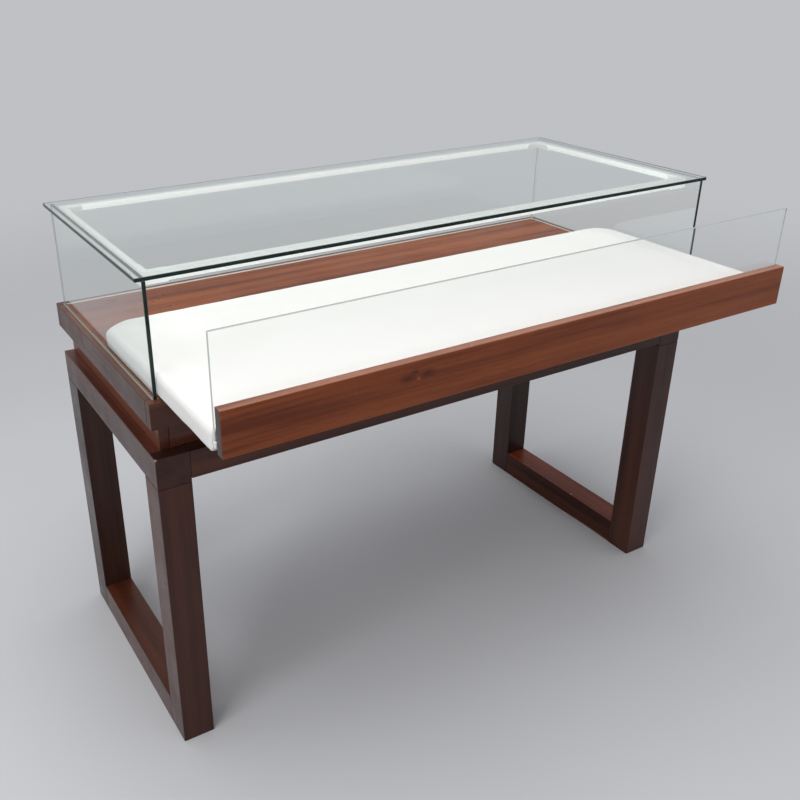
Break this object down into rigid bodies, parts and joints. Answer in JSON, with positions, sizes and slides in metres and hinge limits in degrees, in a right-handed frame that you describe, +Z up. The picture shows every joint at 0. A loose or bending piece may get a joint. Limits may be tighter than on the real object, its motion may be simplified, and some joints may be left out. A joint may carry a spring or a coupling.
{
  "type": "table showcase",
  "caption": "Table-shaped display case: glass hood with light bars under its top and a padded drawer with a wooden front and low glass pane, on a dark wooden case and loop-leg stand.",
  "frame": {"origin": "on the floor, under the middle of the whole object's box with the drawer out as in the picture", "axes": "+X along the table to the right, seen from the front; +Y to the back; +Z up; the drawer opens towards -Y"},
  "size_m": [1.209, 0.739, 0.9061],
  "materials": {
    "wood": "dark red-brown stain under satin varnish",
    "glass": "clear, with a faint green cast and dark green edges",
    "white_channel": "white, satin",
    "opal_cover": "opal, matt",
    "light_tape": "white tape with yellow lamps",
    "clear_lead": "beige, semi-gloss",
    "driver_case": "pale grey, matt",
    "black_rubber": "matt",
    "grey_silicone": "satin",
    "plywood": "bare, sanded",
    "white_fabric": "white, soft, fine weave",
    "zinc_steel": "bright zinc plate"
  },
  "bodies": {
    "cabinet": {"leg_left_front_post": "wood", "leg_left_back_post": "wood", "leg_left_top_rail": "wood", "leg_left_foot_rail": "wood", "leg_right_front_post": "wood", "leg_right_back_post": "wood", "leg_right_top_rail": "wood", "leg_right_foot_rail": "wood", "apron_front": "wood", "apron_back": "wood", "plinth_front": "wood", "plinth_back": "wood", "plinth_left": "wood", "plinth_right": "wood", "case_rail_front": "wood", "case_rail_back": "wood", "case_rail_left": "wood", "case_rail_right": "wood", "case_deck": "wood", "case_floor": "wood", "hood_left": "glass", "hood_right": "glass", "hood_back": "glass", "hood_top": "glass", "led_channel_front": "white_channel", "led_channel_back": "white_channel", "led_channel_left": "white_channel", "led_channel_right": "white_channel", "led_diffuser_front": "opal_cover", "led_diffuser_back": "opal_cover", "led_diffuser_left": "opal_cover", "led_diffuser_right": "opal_cover", "led_tape_front": "light_tape", "led_tape_back": "light_tape", "led_tape_left": "light_tape", "led_tape_right": "light_tape", "led_corner_front_left": "white_channel", "led_corner_front_right": "white_channel", "led_corner_back_left": "white_channel", "led_corner_back_right": "white_channel", "led_wire": "clear_lead", "led_driver": "driver_case", "cable_grommet": "black_rubber", "slide_fixed_left": "zinc_steel", "slide_fixed_right": "zinc_steel"},
    "drawer": {"drawer_front": "wood", "drawer_pane": "glass", "drawer_pane_strip": "grey_silicone", "tray_board": "plywood", "tray_batten_left": "white_fabric", "tray_batten_right": "white_fabric", "pad": "white_fabric", "slide_inner_left": "zinc_steel", "slide_inner_right": "zinc_steel"},
    "slide_left": {"slide_middle_left": "zinc_steel"},
    "slide_right": {"slide_middle_right": "zinc_steel"}
  },
  "joints": [
    {"name": "drawer_slide", "type": "slide", "parent": "cabinet", "child": "drawer", "axis": [0, -1, 0], "range_m": [-0.213, 0.037]},
    {"name": "slide_left_run", "type": "slide", "parent": "cabinet", "child": "slide_left", "axis": [0, -1, 0], "range_m": [-0.107, 0.019]},
    {"name": "slide_right_run", "type": "slide", "parent": "cabinet", "child": "slide_right", "axis": [0, -1, 0], "range_m": [-0.107, 0.019]}
  ],
  "couplings": [
    {"joint": "slide_left_run", "follows": "drawer_slide", "ratio": 0.5},
    {"joint": "slide_right_run", "follows": "drawer_slide", "ratio": 0.5}
  ]
}
